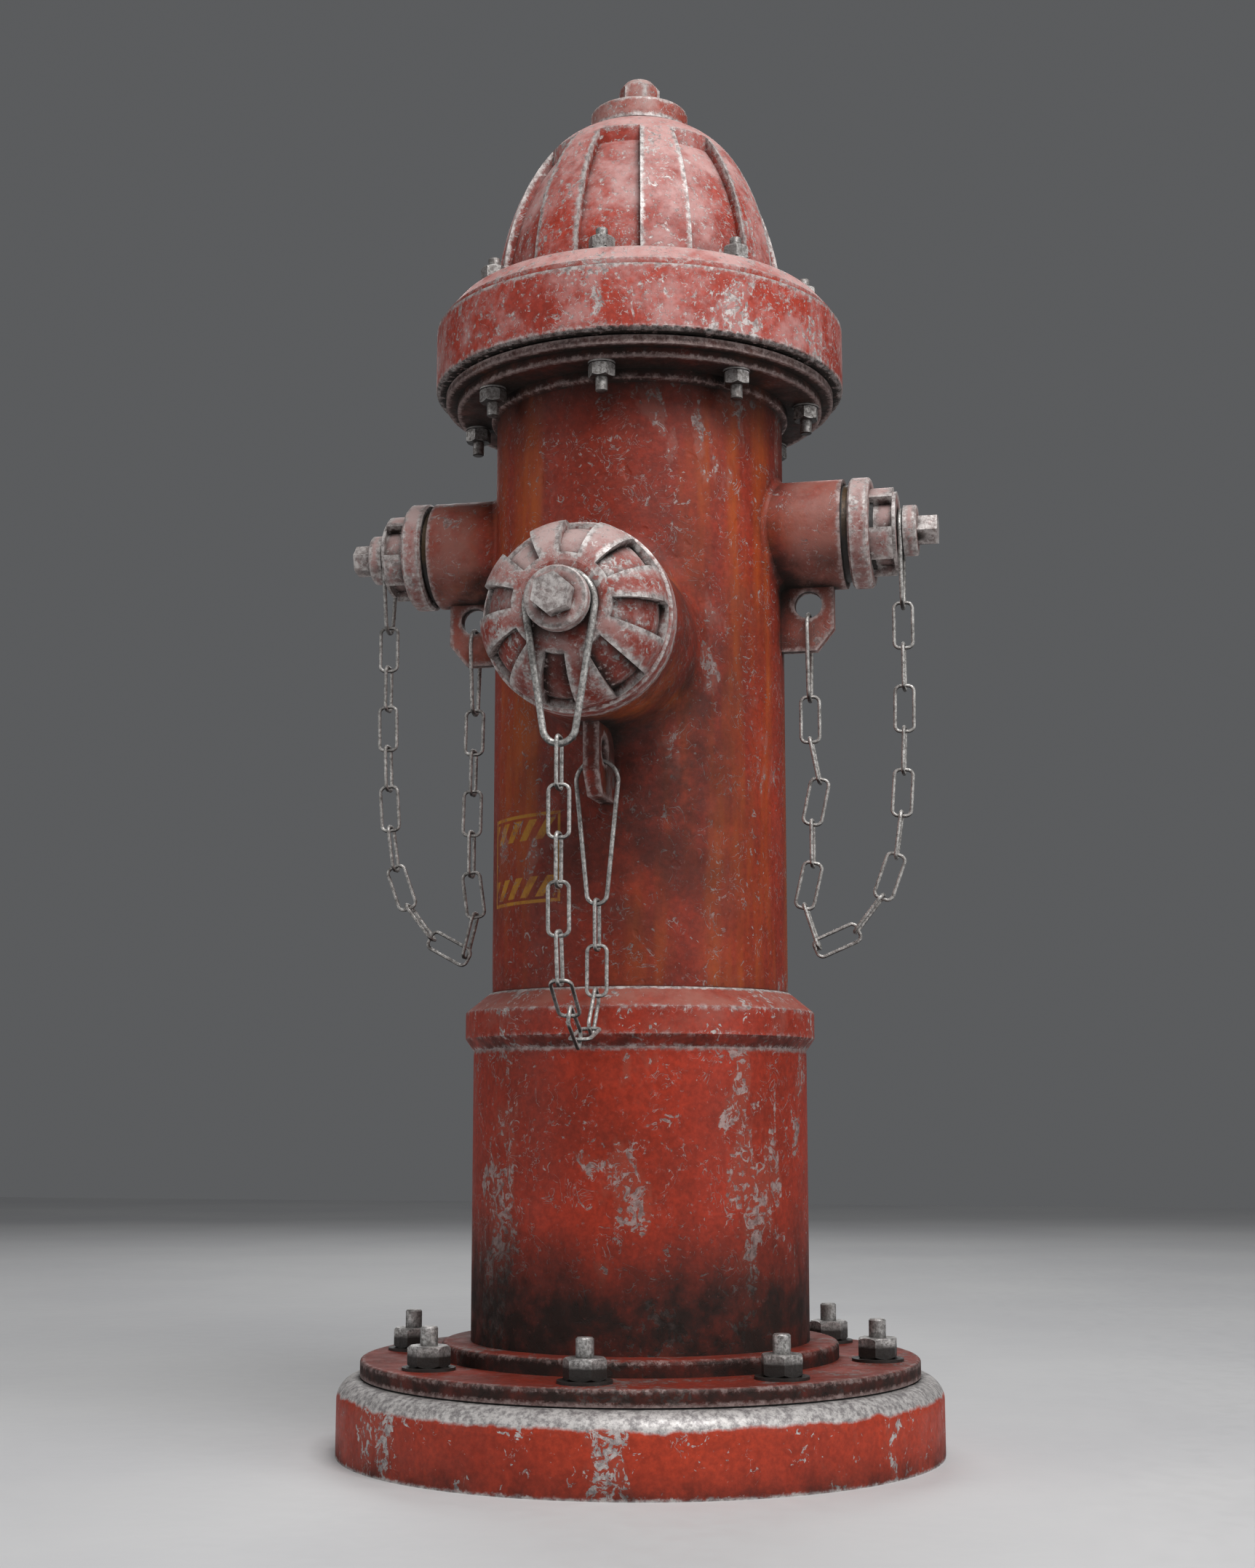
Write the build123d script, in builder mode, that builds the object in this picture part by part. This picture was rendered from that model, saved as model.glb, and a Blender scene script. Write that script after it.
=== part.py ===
from build123d import *
import os
from math import asin, cos, degrees, radians, sin, sqrt

os.makedirs("parts", exist_ok=True)

# A dry-barrel fire hydrant. Millimetres and degrees. +Z is up and the origin is the centre of the
# underside. The pumper outlet faces -Y, and the two hose outlets face +X and -X.

# The body, from the ground up
base_r = 199.0
base_top = 49.0
base_round = 14.0
inlet_r = 76.2
inlet_socket_r = 82.5
inlet_socket_depth = 12.0
flange_r = 184.0
flange_low = 50.0
flange_top = 60.5
hub_r = 131.0
hub_top = 71.0
lower_r = 112.0
lower_bore_r = 98.0
belt_low = 260.0
belt_r = 117.5
belt_top = 298.0
belt_shoulder = 282.0
barrel_r = 100.0
barrel_bore_r = 88.0
barrel_low = 272.0
barrel_top = 715.5
rim_r = 142.9
rim_low = 717.0
rim_top = 761.5
plate_r = 128.0
plate_top = 779.0
dome_r = 102.0
crown_r = 33.0
crown_top = 914.5
wrench_r = 15.0
wrench_top = 954.0

# Clearances between pieces that are still, that turn on each other, and that pass each other
fit_gap = 0.05
turn_gap = 0.05
pass_gap = 0.3

# Fasteners
stud_count = 8
base_stud_circle = 157.0
base_stud_r = 5.5
base_stud_low = 16.0
base_stud_top = 87.0
base_nut_flats = 23.4
base_nut_height = 13.0
base_washer_r = 16.8
base_washer_height = 1.8
bonnet_stud_circle = 118.0
bonnet_stud_r = 4.0
bonnet_stud_low = 684.0
bonnet_stud_top = 796.0
bonnet_nut_flats = 15.6
bonnet_nut_height = 9.0
bonnet_washer_r = 9.0
bonnet_washer_height = 1.2
foot_hole_circle = 120.65
foot_hole_r = 9.5
foot_hole_depth = 30.0

# The valve and its stem
stem_r = 9.45
lower_stem_r = 11.0
seat_r = 60.0
seat_low = 74.0
valve_r = 68.0
valve_height = 14.7

# Outlets: the height of the axis, then distances out from the barrel's axis
hose_z = 611.0
hose_neck_r = 37.5
hose_neck_end = 144.6
hose_thread_r = 25.2
hose_thread_end = 163.0
hose_bore_r = 19.05
hose_loop_at = 182.6
pumper_z = 519.0
pumper_neck_r = 58.5
pumper_neck_end = 165.0
pumper_thread_r = 46.0
pumper_thread_end = 186.0
pumper_bore_r = 38.1
pumper_loop_at = 226.0

# Chain lugs cast under the outlets
lug_hole_r = 9.5
hose_lug_thick = 9.0
hose_lug_hole = (118.5, 562.0)
pumper_lug_thick = 10.0
pumper_lug_hole = (128.0, 445.0)

# Chains: steel wire, and the play that lets the links move
wire = 2.4
link_length = 33.6
link_width = 15.0
link_corner = 4.0
link_play = 0.3
open_play = 0.8
lug_play = 0.9
hose_loop_wire = 2.8
pumper_loop_wire = 4.2


def radial_plane(angle, height=0.0):
    """A plane through the hydrant's axis: x runs outward at this angle and y runs up."""
    turn = radians(angle)
    return Plane(origin=(0, 0, height), x_dir=(cos(turn), sin(turn), 0), z_dir=(sin(turn), -cos(turn), 0))


def facing_plane(angle, height, distance):
    """A plane that faces outward at this angle, this far from the hydrant's axis: y runs up."""
    turn = radians(angle)
    outward = Vector(cos(turn), sin(turn), 0)
    origin = outward * distance + Vector(0, 0, height)
    return Plane(origin=origin, x_dir=(-sin(turn), cos(turn), 0), z_dir=outward)


def outlet_axis(angle, height):
    """The centre line of an outlet."""
    turn = radians(angle)
    return Axis((0, 0, height), (cos(turn), sin(turn), 0))


def save(piece, label):
    """Name a finished piece and write it."""
    piece.part.label = label
    export_step(piece.part, f"parts/{label}.step")


def turned(points, plane=Plane.XZ, axis=Axis.Z):
    """A turned piece, from the straight-sided half outline of its section."""
    with BuildPart() as piece:
        with BuildSketch(plane):
            with BuildLine():
                Polyline(*points, close=True)
            make_face()
        revolve(axis=axis)
    return piece


def torus_ring(ring_r, section_r, height):
    """A rubber ring of round section, level, at this height."""
    with BuildPart() as piece:
        with BuildSketch(Plane.XZ):
            with Locations((ring_r, height)):
                Circle(section_r)
        revolve(axis=Axis.Z)
    return piece


def thread(start, end, major, pitch):
    """The ridges of a screw thread along a turned outline, as (distance, radius) points."""
    depth = pitch * 0.45
    turns = int((end - start - pitch) / pitch)
    points = []
    for turn in range(turns):
        foot = start + pitch * (turn + 0.5)
        points += [(foot, major - depth), (foot + pitch * 0.35, major)]
        points += [(foot + pitch * 0.5, major), (foot + pitch * 0.85, major - depth)]
    return points


# ------------------------------------------------------------------ base

# Ground-line flange: blind holes take the studs from above, and tapped holes below take the
# bolts of the pipe flange under it.
with BuildPart() as base_ring:
    with BuildSketch():
        Circle(base_r)
        Circle(inlet_r, mode=Mode.SUBTRACT)
    extrude(amount=base_top)
    fillet(base_ring.edges().group_by(Axis.Z)[-1].sort_by(SortBy.RADIUS)[-1], base_round)
    with BuildSketch(Plane.XY.offset(base_top)):
        with PolarLocations(base_stud_circle, stud_count):
            Circle(base_stud_r + fit_gap)
    extrude(amount=base_stud_low - base_top, mode=Mode.SUBTRACT)
    with BuildSketch():
        with PolarLocations(foot_hole_circle, stud_count, start_angle=22.5):
            Circle(foot_hole_r)
    extrude(amount=foot_hole_depth, mode=Mode.SUBTRACT)
    with BuildSketch():
        Circle(inlet_socket_r)
    extrude(amount=inlet_socket_depth, mode=Mode.SUBTRACT)
save(base_ring, "base_ring")

with BuildPart() as base_gasket:
    with BuildSketch(Plane.XY.offset(base_top)):
        Circle(flange_r - 1.5)
        Circle(inlet_r + 4, mode=Mode.SUBTRACT)
        with PolarLocations(base_stud_circle, stud_count):
            Circle(base_stud_r + 0.6, mode=Mode.SUBTRACT)
    extrude(amount=flange_low - base_top)
save(base_gasket, "base_gasket")

# ------------------------------------------------------------------ fasteners


def stud_ring(label, circle, radius, low, top):
    """A ring of studs with chamfered ends, as separate solids of one node."""
    with BuildPart() as piece:
        with BuildSketch(Plane.XY.offset(low)):
            with PolarLocations(circle, stud_count):
                Circle(radius)
        extrude(amount=top - low)
        chamfer(piece.edges().filter_by(GeomType.CIRCLE), radius * 0.18)
    save(piece, label)


def hex_nut(flats, height, hole_r):
    """One hexagon nut on z = 0, its corners turned off at both ends."""
    corner = flats / sqrt(3)
    drop = (corner - flats / 2) * 0.8
    with BuildPart() as nut:
        with BuildSketch():
            RegularPolygon(corner, 6)
        extrude(amount=height)
        with BuildSketch(Plane.XZ):
            with BuildLine():
                Polyline(
                    (0, 0),
                    (flats / 2, 0),
                    (corner, drop),
                    (corner, height - drop),
                    (flats / 2, height),
                    (0, height),
                    close=True,
                )
            make_face()
        revolve(axis=Axis.Z, mode=Mode.INTERSECT)
        Cylinder(hole_r, 4 * height, mode=Mode.SUBTRACT)
    return nut.part


def nut_ring(label, circle, nut, lows):
    """Rings of nuts at each of these heights, one flat of each nut facing the hydrant's axis."""
    with BuildPart() as piece:
        for low in lows:
            with Locations((0, 0, low)):
                with PolarLocations(circle, stud_count):
                    add(nut, rotation=(0, 0, 30))
    save(piece, label)


def washer_ring(label, circle, outer_r, hole_r, height, lows):
    """Rings of flat washers at each of these heights."""
    with BuildPart() as piece:
        for low in lows:
            with BuildSketch(Plane.XY.offset(low)):
                with PolarLocations(circle, stud_count):
                    Circle(outer_r)
                    Circle(hole_r, mode=Mode.SUBTRACT)
            extrude(amount=height)
    save(piece, label)


base_nut = hex_nut(base_nut_flats, base_nut_height, base_stud_r + fit_gap)
stud_ring("base_studs", base_stud_circle, base_stud_r, base_stud_low, base_stud_top)
washer_ring(
    "base_washers", base_stud_circle, base_washer_r, base_stud_r + 0.3, base_washer_height, [flange_top]
)
nut_ring("base_nuts", base_stud_circle, base_nut, [flange_top + base_washer_height])

bonnet_nut = hex_nut(bonnet_nut_flats, bonnet_nut_height, bonnet_stud_r + fit_gap)
bonnet_flange_low = 703.7
lower_washer_low = bonnet_flange_low - bonnet_washer_height
lower_nut_low = lower_washer_low - bonnet_nut_height
stud_ring("bonnet_studs", bonnet_stud_circle, bonnet_stud_r, bonnet_stud_low, bonnet_stud_top)
washer_ring(
    "bonnet_washers",
    bonnet_stud_circle,
    bonnet_washer_r,
    bonnet_stud_r + 0.2,
    bonnet_washer_height,
    [lower_washer_low, plate_top],
)
nut_ring(
    "bonnet_nuts", bonnet_stud_circle, bonnet_nut, [lower_nut_low, plate_top + bonnet_washer_height]
)

# ------------------------------------------------------------------ lower barrel and belt

# The narrow bore at the foot is where the valve seat screws in. The spigot at the top goes up
# into the belt.
seat_bore_r = 80.0
seat_bore_top = 92.0
spigot_r = 108.0
spigot_top = 270.0
with BuildPart() as lower_barrel:
    with BuildSketch(Plane.XZ):
        with BuildLine():
            Polyline(
                (seat_bore_r, flange_low),
                (flange_r, flange_low),
                (flange_r, flange_top),
                (hub_r, flange_top),
                (hub_r, hub_top),
                (lower_r, hub_top),
                (lower_r, belt_low),
                (spigot_r, belt_low),
                (spigot_r, spigot_top),
                (lower_bore_r, spigot_top),
                (lower_bore_r, seat_bore_top),
                (seat_bore_r, seat_bore_top),
                close=True,
            )
        make_face()
    revolve(axis=Axis.Z)
    rings = lower_barrel.edges().filter_by(GeomType.CIRCLE)
    fillet(rings.filter_by_position(Axis.Z, flange_top, flange_top).sort_by(SortBy.RADIUS)[-1], 2.0)
    fillet(
        lower_barrel.edges()
        .filter_by(GeomType.CIRCLE)
        .filter_by_position(Axis.Z, hub_top, hub_top)
        .sort_by(SortBy.RADIUS)[-1],
        3.0,
    )
    with BuildSketch(Plane.XY.offset(flange_low)):
        with PolarLocations(base_stud_circle, stud_count):
            Circle(base_stud_r + 0.6)
    extrude(amount=flange_top - flange_low, mode=Mode.SUBTRACT)
save(lower_barrel, "lower_barrel")

belt_ring = turned(
    [
        (spigot_r + fit_gap, belt_low),
        (lower_r, belt_low),
        (belt_r, belt_low + 7.7),
        (belt_r, belt_top - 13.0),
        (barrel_r + 1.6, belt_top),
        (barrel_r + fit_gap, belt_top),
        (barrel_r + fit_gap, belt_shoulder),
        (spigot_r + fit_gap, belt_shoulder),
    ]
)
save(belt_ring, "belt_ring")

barrel_gasket = turned(
    [
        (lower_bore_r, spigot_top),
        (spigot_r, spigot_top),
        (spigot_r, barrel_low),
        (lower_bore_r, barrel_low),
    ]
)
save(barrel_gasket, "barrel_gasket")

# ------------------------------------------------------------------ upper barrel

# Nozzle section: one casting with the top flange, the three outlet necks and the chain lugs.
hose_angles = (0, 180)
pumper_angle = -90
hose_socket_r = 29.0
pumper_socket_r = 50.0
socket_start = 40.0
collar_low = 698.0
flange_step = 710.0
lug_root = 92.0
pumper_flare = 20.0
with BuildPart() as upper_barrel:
    with BuildSketch(Plane.XZ):
        with BuildLine():
            Polyline(
                (0, barrel_low),
                (spigot_r, barrel_low),
                (spigot_r, belt_shoulder - fit_gap),
                (barrel_r, belt_shoulder - fit_gap),
                (barrel_r, collar_low - 2.0),
                (barrel_r + 4.0, collar_low),
                (barrel_r + 4.0, bonnet_flange_low),
                (plate_r, bonnet_flange_low),
                (plate_r, flange_step),
                (plate_r + 8.0, flange_step),
                (plate_r + 8.0, barrel_top),
                (0, barrel_top),
                close=True,
            )
        make_face()
    revolve(axis=Axis.Z)
    with BuildSketch(facing_plane(pumper_angle, pumper_z, 0)):
        Circle(pumper_neck_r)
    extrude(amount=pumper_neck_end)
    flare_edge = upper_barrel.edges(Select.NEW).filter_by(GeomType.CIRCLE, reverse=True)
    fillet(flare_edge, pumper_flare)
    for angle in hose_angles:
        with BuildSketch(facing_plane(angle, hose_z, 0)):
            Circle(hose_neck_r)
        extrude(amount=hose_neck_end)
        root_edge = upper_barrel.edges(Select.NEW).filter_by(GeomType.CIRCLE, reverse=True)
        fillet(root_edge, 4.0)
    lug_out, lug_z = hose_lug_hole[0] + 17.5, hose_lug_hole[1]
    for angle in hose_angles:
        with BuildSketch(radial_plane(angle)):
            with BuildLine():
                Polyline(
                    (lug_root, lug_z - 32),
                    (lug_out - 12, lug_z - 32),
                    (lug_out, lug_z - 17),
                    (lug_out, lug_z + 18),
                    (lug_root, lug_z + 18),
                    close=True,
                )
            make_face()
            with Locations(hose_lug_hole):
                Circle(lug_hole_r, mode=Mode.SUBTRACT)
        extrude(amount=hose_lug_thick / 2, both=True)
    lug_out, lug_z = pumper_lug_hole[0] + 18, pumper_lug_hole[1]
    with BuildSketch(radial_plane(pumper_angle)):
        with BuildLine():
            Polyline(
                (lug_root, lug_z - 30),
                (lug_out - 12, lug_z - 30),
                (lug_out, lug_z - 15),
                (lug_out, lug_z + 21),
                (lug_root, lug_z + 21),
                close=True,
            )
        make_face()
        with Locations(pumper_lug_hole):
            Circle(lug_hole_r, mode=Mode.SUBTRACT)
    extrude(amount=pumper_lug_thick / 2, both=True)
    for angle in hose_angles:
        with BuildSketch(facing_plane(angle, hose_z, socket_start)):
            Circle(hose_socket_r + fit_gap)
        extrude(amount=hose_neck_end, mode=Mode.SUBTRACT)
    with BuildSketch(facing_plane(pumper_angle, pumper_z, socket_start)):
        Circle(pumper_socket_r + fit_gap)
    extrude(amount=pumper_neck_end, mode=Mode.SUBTRACT)
    with BuildSketch(Plane.XY.offset(barrel_low)):
        Circle(barrel_bore_r)
    extrude(amount=barrel_top - barrel_low, mode=Mode.SUBTRACT)
    with BuildSketch(Plane.XY.offset(bonnet_flange_low)):
        with PolarLocations(bonnet_stud_circle, stud_count):
            Circle(bonnet_stud_r + 0.4)
    extrude(amount=barrel_top - bonnet_flange_low, mode=Mode.SUBTRACT)
save(upper_barrel, "upper_barrel")

# ------------------------------------------------------------------ bonnet

with BuildPart() as bonnet_gasket:
    with BuildSketch(Plane.XY.offset(barrel_top)):
        Circle(plate_r + 5.0)
        Circle(barrel_bore_r + 1.0, mode=Mode.SUBTRACT)
        with PolarLocations(bonnet_stud_circle, stud_count):
            Circle(bonnet_stud_r + 0.4, mode=Mode.SUBTRACT)
    extrude(amount=rim_low - barrel_top)
save(bonnet_gasket, "bonnet_gasket")

# Cast dome with eight sunk panels, hollow inside, with a boss that carries the operating nut.
panel_sink = 5.5
panel_arc = 25.0
panel_top_r = 65.0
boss_r = 31.0
boss_low = 842.0
nut_seat = 868.0
hold_down_r = 20.0
dome_points = [(dome_r, plate_top), (95.5, 829.6), (81.6, 867.3), (60.3, 897.9), (crown_r, crown_top)]


def dome_curve(sink):
    """The dome's side from foot to crown, sunk below the outer surface by this much."""
    points = [(r - sink, z - sink * (z - plate_top) / (crown_top - plate_top)) for r, z in dome_points]
    return Spline(*points, tangents=[(0, 1), (-1, 0.42)])


with BuildPart() as bonnet:
    with BuildSketch(Plane.XZ):
        with BuildLine():
            side = dome_curve(0)
            Polyline(
                side @ 1,
                (0, crown_top),
                (0, rim_low),
                (rim_r, rim_low),
                (rim_r, rim_top),
                (rim_r - 3.4, rim_top + 1.2),
                (rim_r - 3.4, rim_top + 5.0),
                (plate_r + 2.0, plate_top - 1.5),
                (plate_r, plate_top),
                side @ 0,
            )
        make_face()
    revolve(axis=Axis.Z)
    rim_edge = bonnet.edges().filter_by(GeomType.CIRCLE).group_by(Axis.Z)[0].sort_by(SortBy.RADIUS)[-1]
    fillet(rim_edge, 2.5)
    for panel in range(8):
        with BuildSketch(radial_plane(panel * 45 - panel_arc / 2)):
            with BuildLine():
                sunk = dome_curve(panel_sink)
                Polyline(sunk @ 1, (crown_r, wrench_top), (rim_r, wrench_top), (rim_r, plate_top), sunk @ 0)
            make_face()
            with Locations((panel_top_r, plate_top)):
                Rectangle(rim_r, wrench_top, align=(Align.MIN, Align.MIN), mode=Mode.INTERSECT)
        revolve(axis=Axis.Z, revolution_arc=panel_arc, mode=Mode.SUBTRACT)
    with BuildSketch(Plane.XZ):
        with BuildLine():
            inner = Spline(
                (barrel_bore_r, plate_top),
                (81.5, 824.0),
                (67.0, 860.0),
                (boss_r, 894.0),
                tangents=[(0, 1), (-1, 0.55)],
            )
            Polyline(
                inner @ 0,
                (barrel_bore_r, rim_low),
                (0, rim_low),
                (0, boss_low),
                (boss_r, boss_low),
                inner @ 1,
            )
        make_face()
    revolve(axis=Axis.Z, mode=Mode.SUBTRACT)
    with BuildSketch(Plane.XZ):
        with BuildLine():
            Polyline(
                (0, boss_low),
                (stem_r + pass_gap, boss_low),
                (stem_r + pass_gap, nut_seat),
                (hold_down_r + fit_gap, nut_seat),
                (hold_down_r + fit_gap, crown_top),
                (0, crown_top),
                close=True,
            )
        make_face()
    revolve(axis=Axis.Z, mode=Mode.SUBTRACT)
    with BuildSketch(Plane.XY.offset(rim_low)):
        with PolarLocations(bonnet_stud_circle, stud_count):
            Circle(bonnet_stud_r + 0.4)
    extrude(amount=plate_top - rim_low, mode=Mode.SUBTRACT)
save(bonnet, "bonnet")

# ------------------------------------------------------------------ operating nut

# The nut's flange is held between two thrust washers by the hold-down nut, which screws into
# the crown. The stem screws up into the nut's blind bore.
shaft_r = 12.5
thrust_r = 18.5
thrust_height = 2.0
thrust_low = nut_seat + thrust_height
thrust_top = thrust_low + 10.0
sleeve_low = thrust_top + 2 * turn_gap + thrust_height
collar_r = 34.7
collar_top = 929.7
ring_groove_z = 905.0
ring_section_r = 1.2
nut_bore_top = 926.0
stem_head = 920.0
wrench_chamfer = 6.5

with BuildPart() as hold_down_nut:
    with BuildSketch(Plane.XZ):
        with BuildLine():
            Polyline(
                (shaft_r + turn_gap, sleeve_low),
                (hold_down_r, sleeve_low),
                (hold_down_r, crown_top),
                (collar_r, crown_top),
                (collar_r, collar_top),
                (shaft_r + turn_gap, collar_top),
                (shaft_r + turn_gap, ring_groove_z + 1.5),
                (shaft_r + 2.9, ring_groove_z + 1.5),
                (shaft_r + 2.9, ring_groove_z - 1.5),
                (shaft_r + turn_gap, ring_groove_z - 1.5),
                close=True,
            )
        make_face()
    revolve(axis=Axis.Z)
    collar_edges = hold_down_nut.edges().filter_by(GeomType.CIRCLE).group_by(Axis.Z)[-1]
    fillet(collar_edges.sort_by(SortBy.RADIUS)[-1], 2.5)
save(hold_down_nut, "hold_down_nut")

save(torus_ring(shaft_r + pass_gap + ring_section_r, ring_section_r, ring_groove_z), "nut_seal_ring")

with BuildPart() as thrust_washers:
    for low in (nut_seat, sleeve_low - thrust_height):
        with BuildSketch(Plane.XY.offset(low)):
            Circle(thrust_r)
            Circle(shaft_r + pass_gap, mode=Mode.SUBTRACT)
        extrude(amount=thrust_height)
save(thrust_washers, "thrust_washers")

with BuildPart() as operating_nut:
    with BuildSketch(Plane.XZ):
        with BuildLine():
            Polyline(
                (stem_r + turn_gap, thrust_low + turn_gap),
                (thrust_r - 0.5, thrust_low + turn_gap),
                (thrust_r - 0.5, thrust_top),
                (shaft_r, thrust_top),
                (shaft_r, collar_top + pass_gap),
                (0, collar_top + pass_gap),
                (0, nut_bore_top),
                (stem_r + turn_gap, nut_bore_top),
                close=True,
            )
        make_face()
    revolve(axis=Axis.Z)
    with BuildSketch(Plane.XY.offset(collar_top + pass_gap)):
        RegularPolygon(wrench_r, 6)
    extrude(amount=wrench_top - collar_top - pass_gap)
    with BuildSketch(Plane.XZ):
        with BuildLine():
            Polyline(
                (0, thrust_low),
                (thrust_r, thrust_low),
                (thrust_r, wrench_top - wrench_chamfer),
                (wrench_r + 0.1, wrench_top - wrench_chamfer),
                (wrench_r - 5.5, wrench_top),
                (0, wrench_top),
                close=True,
            )
        make_face()
    revolve(axis=Axis.Z, mode=Mode.INTERSECT)
save(operating_nut, "operating_nut")

# ------------------------------------------------------------------ stem and valve

# Two stems meet in a coupling at the belt, so that a struck hydrant parts there.
joint_z = 283.0
coupling_half = 20.0
coupling_r = 18.0
coupling_pin_r = 3.0
coupling_pin_at = (joint_z - 11.0, joint_z + 11.0)


def cross_pin_holes():
    """Bore the holes of the coupling's two cross pins through the piece that is being built."""
    with Locations(*[Location((0, 0, pin_z), (90, 0, 0)) for pin_z in coupling_pin_at]):
        Cylinder(coupling_pin_r + fit_gap, 4 * coupling_r, mode=Mode.SUBTRACT)


with BuildPart() as upper_stem:
    with BuildSketch(Plane.XZ):
        with BuildLine():
            Polyline(
                (0, joint_z + 0.5),
                (stem_r, joint_z + 0.5),
                (stem_r, stem_head - 2.0),
                (stem_r - 1.5, stem_head),
                (0, stem_head),
                close=True,
            )
        make_face()
    revolve(axis=Axis.Z)
    cross_pin_holes()
save(upper_stem, "upper_stem")

plate_hub_top = seat_low + 10.0
valve_low = seat_low - pass_gap - valve_height
lower_plate_low = valve_low - 10.0
valve_nut_height = 10.0
stem_foot = lower_plate_low - valve_nut_height - 3.0
with BuildPart() as lower_stem:
    with BuildSketch(Plane.XZ):
        with BuildLine():
            Polyline(
                (0, stem_foot),
                (lower_stem_r - 1.5, stem_foot),
                (lower_stem_r, stem_foot + 1.5),
                (lower_stem_r, plate_hub_top),
                (lower_stem_r + 4.0, plate_hub_top),
                (lower_stem_r + 4.0, plate_hub_top + 10.0),
                (lower_stem_r, plate_hub_top + 14.0),
                (lower_stem_r, joint_z - 0.5),
                (0, joint_z - 0.5),
                close=True,
            )
        make_face()
    revolve(axis=Axis.Z)
    cross_pin_holes()
save(lower_stem, "lower_stem")

with BuildPart() as stem_coupling:
    with BuildSketch(Plane.XZ):
        with BuildLine():
            Polyline(
                (lower_stem_r + fit_gap, joint_z - coupling_half),
                (coupling_r, joint_z - coupling_half),
                (coupling_r, joint_z + coupling_half),
                (stem_r + fit_gap, joint_z + coupling_half),
                (stem_r + fit_gap, joint_z),
                (lower_stem_r + fit_gap, joint_z),
                close=True,
            )
        make_face()
    revolve(axis=Axis.Z)
    cross_pin_holes()
save(stem_coupling, "stem_coupling")

with BuildPart() as coupling_pins:
    with BuildSketch(Plane.XZ):
        with Locations(*[(0, pin_z) for pin_z in coupling_pin_at]):
            Circle(coupling_pin_r)
    extrude(amount=coupling_r + 3.0, both=True)
save(coupling_pins, "coupling_pins")

hub_hole_r = lower_stem_r + fit_gap
save(
    turned(
        [
            (seat_r, seat_low),
            (seat_bore_r - fit_gap, seat_low),
            (seat_bore_r - fit_gap, seat_low + 6.0),
            (seat_bore_r - 2.6, seat_low + 6.0),
            (seat_bore_r - 2.6, seat_low + 9.0),
            (seat_bore_r - fit_gap, seat_low + 9.0),
            (seat_bore_r - fit_gap, seat_bore_top),
            (seat_r + 6.0, seat_bore_top),
            (seat_r, seat_bore_top - 6.0),
        ]
    ),
    "seat_ring",
)
save(torus_ring(seat_bore_r - 1.35, 1.2, seat_low + 7.5), "seat_seal_ring")
save(
    turned(
        [
            (hub_hole_r, valve_low),
            (valve_r - 2.0, valve_low),
            (valve_r, valve_low + 2.0),
            (valve_r, valve_low + valve_height),
            (hub_hole_r, valve_low + valve_height),
        ]
    ),
    "main_valve",
)
save(
    turned(
        [
            (hub_hole_r, valve_low + valve_height),
            (seat_r - 4.0, valve_low + valve_height),
            (seat_r - 4.0, valve_low + valve_height + 4.0),
            (22.0, plate_hub_top),
            (hub_hole_r, plate_hub_top),
        ]
    ),
    "upper_valve_plate",
)
save(
    turned(
        [
            (hub_hole_r, lower_plate_low),
            (24.0, lower_plate_low),
            (valve_r - 6.0, valve_low - 4.0),
            (valve_r - 6.0, valve_low),
            (hub_hole_r, valve_low),
        ]
    ),
    "lower_valve_plate",
)
with BuildPart() as valve_nut:
    with Locations((0, 0, lower_plate_low - valve_nut_height)):
        add(hex_nut(34.0, valve_nut_height, hub_hole_r))
save(valve_nut, "valve_nut")

# ------------------------------------------------------------------ outlet nozzles

hose_flange_low = hose_neck_end + 0.8
hose_flange_top = 149.0
pumper_flange_low = pumper_neck_end + 1.0
pumper_flange_top = 168.5


def nozzle(label, angle, height, rear, socket, seat, flange, top, thread_r, end, bore, pitch):
    """A bronze nozzle: a plain end in the neck, a flange outside it, and the hose thread."""
    outline = [(rear, bore), (rear, socket), (seat, socket), (seat, flange), (top, flange)]
    outline += [(top, thread_r - pitch * 0.45)]
    outline += thread(top, end, thread_r, pitch)
    outline += [(end, thread_r - pitch * 0.45), (end, bore)]
    piece = turned(outline, radial_plane(angle, height), outlet_axis(angle, height))
    save(piece, label)


hose_pitch = 25.4 / 9
pumper_pitch = 25.4 / 6
for angle, side in zip(hose_angles, ("right", "left")):
    nozzle(
        f"{side}_nozzle",
        angle,
        hose_z,
        94.0,
        hose_socket_r,
        hose_flange_low,
        hose_neck_r - 4.5,
        hose_flange_top,
        hose_thread_r,
        hose_thread_end,
        hose_bore_r,
        hose_pitch,
    )
nozzle(
    "pumper_nozzle",
    pumper_angle,
    pumper_z,
    96.0,
    pumper_socket_r,
    pumper_flange_low,
    pumper_neck_r - 4.5,
    pumper_flange_top,
    pumper_thread_r,
    pumper_thread_end,
    pumper_bore_r,
    pumper_pitch,
)

with BuildPart() as nozzle_gaskets:
    for angle in hose_angles:
        with BuildSketch(facing_plane(angle, hose_z, hose_neck_end)):
            Circle(hose_neck_r - 4.5)
            Circle(hose_socket_r + 0.2, mode=Mode.SUBTRACT)
        extrude(amount=hose_flange_low - hose_neck_end)
    with BuildSketch(facing_plane(pumper_angle, pumper_z, pumper_neck_end)):
        Circle(pumper_neck_r - 4.5)
        Circle(pumper_socket_r + 0.2, mode=Mode.SUBTRACT)
    extrude(amount=pumper_flange_low - pumper_neck_end)
save(nozzle_gaskets, "nozzle_gaskets")

# ------------------------------------------------------------------ hose caps

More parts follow.
